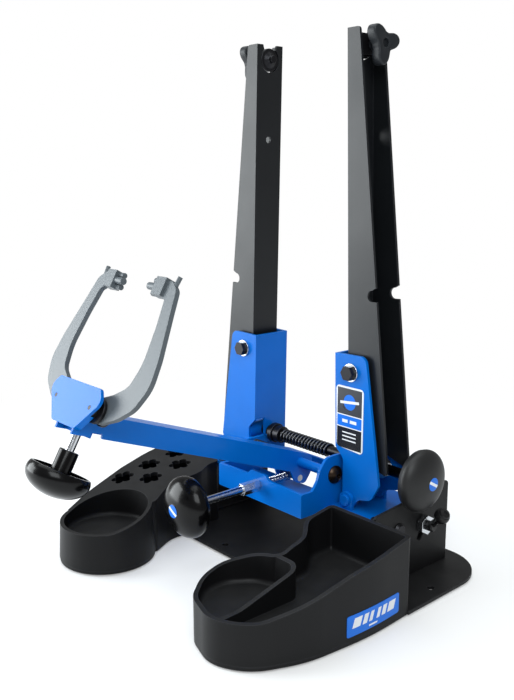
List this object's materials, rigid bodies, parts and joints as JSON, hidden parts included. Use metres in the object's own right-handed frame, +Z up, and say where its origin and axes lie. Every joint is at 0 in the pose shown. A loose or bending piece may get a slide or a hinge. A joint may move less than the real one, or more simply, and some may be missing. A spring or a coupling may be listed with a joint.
{
  "type": "wheel truing stand",
  "caption": "Bench stand with two leaning uprights that clamp a bicycle wheel, a sprung caliper arm with screw-set jaws, hand knobs and a tilting base with trays.",
  "frame": {"origin": "point on the bench under the middle of the wheel's axle, midway between the uprights", "axes": "+X along the axle to the main knob's side, +Y away from the user, +Z up"},
  "size_m": [0.3622, 0.3933, 0.5109],
  "materials": {
    "blue_paint": "gloss enamel",
    "grey_paint": "satin powder coat",
    "matte_black": "matte moulded",
    "gloss_black": "gloss moulded",
    "bare_steel": "turned",
    "zinc_plate": "bright zinc",
    "black_oxide": "black oxide",
    "jaw_steel": "satin plated",
    "rubber": "matte",
    "tray_badge": "printed film",
    "bracket_badge": "printed film",
    "knob_badge": "printed film"
  },
  "bodies": {
    "base": {"base_plate": "matte_black", "rubber_feet": "rubber", "left_tray": "matte_black", "right_tray": "matte_black", "base_screws": "black_oxide", "tray_label": "tray_badge", "left_side_wall": "matte_black", "right_side_wall": "matte_black"},
    "tilting_frame": {"main_frame": "blue_paint", "left_tilt_plate": "black_oxide", "right_tilt_plate": "black_oxide", "frame_screws": "black_oxide", "tilt_pivot_bolts": "black_oxide", "slot_bolts": "zinc_plate", "upright_pivot_pins": "blue_paint", "arm_pivot_bolt": "black_oxide", "screw_sleeve": "zinc_plate"},
    "tilt_clamp": {"tilt_clamp_nut": "zinc_plate", "tilt_lever": "matte_black"},
    "left_leg": {"left_bracket": "blue_paint", "left_bracket_hardware": "black_oxide", "left_upright": "grey_paint", "left_clamp_bridge": "black_oxide"},
    "right_leg": {"right_bracket": "blue_paint", "right_bracket_hardware": "black_oxide", "right_upright": "grey_paint", "right_clamp_bridge": "black_oxide", "bracket_label": "bracket_badge"},
    "left_nut": {"left_screw_nut": "black_oxide"},
    "right_nut": {"right_screw_nut": "black_oxide"},
    "width_screw": {"lead_screw": "bare_steel", "lead_collars": "black_oxide", "lead_spring": "black_oxide", "lead_washer": "bare_steel", "main_knob": "matte_black", "main_knob_badge": "knob_badge"},
    "arm": {"caliper_arm": "blue_paint", "heel_roller": "bare_steel", "arm_pivot_tube": "blue_paint", "arm_spring": "black_oxide", "head_plate": "blue_paint", "jaw_studs": "zinc_plate", "jaw_washers": "black_oxide", "jaw_nut_block": "blue_paint"},
    "left_caliper": {"left_jaw": "jaw_steel", "left_jaw_tip": "jaw_steel"},
    "right_caliper": {"right_jaw": "jaw_steel", "right_jaw_tip": "jaw_steel"},
    "jaw_traveller": {"jaw_spool": "bare_steel"},
    "jaw_drive": {"jaw_screw": "zinc_plate", "jaw_knob": "gloss_black"},
    "height_slide": {"thrust_cap": "bare_steel"},
    "height_drive": {"height_screw": "zinc_plate", "height_knob": "gloss_black", "height_knob_badge": "knob_badge"},
    "left_pad": {"left_clamp_pad": "black_oxide"},
    "left_pad_drive": {"left_clamp_knob": "matte_black"},
    "right_pad": {"right_clamp_pad": "black_oxide"},
    "right_pad_drive": {"right_clamp_knob": "matte_black"}
  },
  "joints": [
    {"name": "tilt_back", "type": "hinge", "parent": "base", "child": "tilting_frame", "pos_m": [0, -0.014, 0.056], "axis": [-1, 0, 0], "range_deg": [0, 22]},
    {"name": "tilt_clamp_turn", "type": "hinge", "parent": "tilting_frame", "child": "tilt_clamp", "pos_m": [0.14, 0.021, 0.053], "axis": [1, 0, 0], "range_deg": [-60, 60]},
    {"name": "left_lean", "type": "hinge", "parent": "tilting_frame", "child": "left_leg", "pos_m": [-0.078, 0, 0.072], "axis": [0, 1, 0], "range_deg": [-3, 4]},
    {"name": "right_lean", "type": "hinge", "parent": "tilting_frame", "child": "right_leg", "pos_m": [0.078, 0, 0.072], "axis": [0, -1, 0], "range_deg": [-3.06, 4.08]},
    {"name": "left_nut_swivel", "type": "hinge", "parent": "left_leg", "child": "left_nut", "pos_m": [-0.078, 0, 0.105], "axis": [0, -1, 0], "range_deg": [-3.06, 4.08]},
    {"name": "right_nut_swivel", "type": "hinge", "parent": "right_leg", "child": "right_nut", "pos_m": [0.078, 0, 0.105], "axis": [0, 1, 0], "range_deg": [-3.06, 4.08]},
    {"name": "width_screw_turn", "type": "hinge", "parent": "tilting_frame", "child": "width_screw", "pos_m": [0, 0, 0.105], "axis": [1, 0, 0], "range_deg": [-158.62, 211.49]},
    {"name": "arm_lift", "type": "hinge", "parent": "tilting_frame", "child": "arm", "pos_m": [0, -0.026, 0.094], "axis": [-1, 0, 0], "range_deg": [-8, 10]},
    {"name": "height_slide_move", "type": "slide", "parent": "tilting_frame", "child": "height_slide", "axis": [0, -1, 0], "range_m": [-0.00247, 0.00309]},
    {"name": "height_screw_turn", "type": "hinge", "parent": "height_slide", "child": "height_drive", "pos_m": [0, -0.1, 0.0768], "axis": [0, 1, 0], "range_deg": [-440.93, 551.16]},
    {"name": "left_jaw_swing", "type": "hinge", "parent": "arm", "child": "left_caliper", "pos_m": [-0.0274, -0.26272, 0.19407], "axis": [0, 0.866, -0.5], "range_deg": [-5, 7.5]},
    {"name": "right_jaw_swing", "type": "hinge", "parent": "arm", "child": "right_caliper", "pos_m": [0.0274, -0.26272, 0.19407], "axis": [0, -0.866, 0.5], "range_deg": [-5.1, 7.65]},
    {"name": "jaw_traveller_slide", "type": "slide", "parent": "arm", "child": "jaw_traveller", "axis": [0, -0.5, -0.866], "range_m": [-0.00182, 0.00272]},
    {"name": "jaw_screw_turn", "type": "hinge", "parent": "jaw_traveller", "child": "jaw_drive", "pos_m": [0, -0.2754, 0.16311], "axis": [0, 0.5, 0.866], "range_deg": [-323.65, 485.47]},
    {"name": "left_pad_slide", "type": "slide", "parent": "left_leg", "child": "left_pad", "axis": [1, 0, 0], "range_m": [-0.0025, 0.0018]},
    {"name": "left_pad_turn", "type": "hinge", "parent": "left_pad", "child": "left_pad_drive", "pos_m": [-0.085, 0, 0.4955], "axis": [1, 0, 0], "range_deg": [-459, 330.48]},
    {"name": "right_pad_slide", "type": "slide", "parent": "right_leg", "child": "right_pad", "axis": [-1, 0, 0], "range_m": [-0.0025, 0.0018]},
    {"name": "right_pad_turn", "type": "hinge", "parent": "right_pad", "child": "right_pad_drive", "pos_m": [0.085, 0, 0.4955], "axis": [-1, 0, 0], "range_deg": [-459, 330.48]}
  ],
  "couplings": [
    {"joint": "right_lean", "follows": "left_lean", "ratio": 1},
    {"joint": "left_nut_swivel", "follows": "left_lean", "ratio": 1},
    {"joint": "right_nut_swivel", "follows": "left_lean", "ratio": 1},
    {"joint": "width_screw_turn", "follows": "left_lean", "ratio": 51.836},
    {"joint": "height_slide_move", "follows": "arm_lift", "m_per_rad": 0.0172},
    {"joint": "height_screw_turn", "follows": "arm_lift", "ratio": 54.035},
    {"joint": "right_jaw_swing", "follows": "left_jaw_swing", "ratio": 1},
    {"joint": "jaw_traveller_slide", "follows": "left_jaw_swing", "m_per_rad": 0.0202},
    {"joint": "jaw_screw_turn", "follows": "left_jaw_swing", "ratio": 63.46},
    {"joint": "left_pad_turn", "follows": "left_pad_slide", "rad_per_m": 3141.6},
    {"joint": "right_pad_turn", "follows": "right_pad_slide", "rad_per_m": 3141.6}
  ]
}
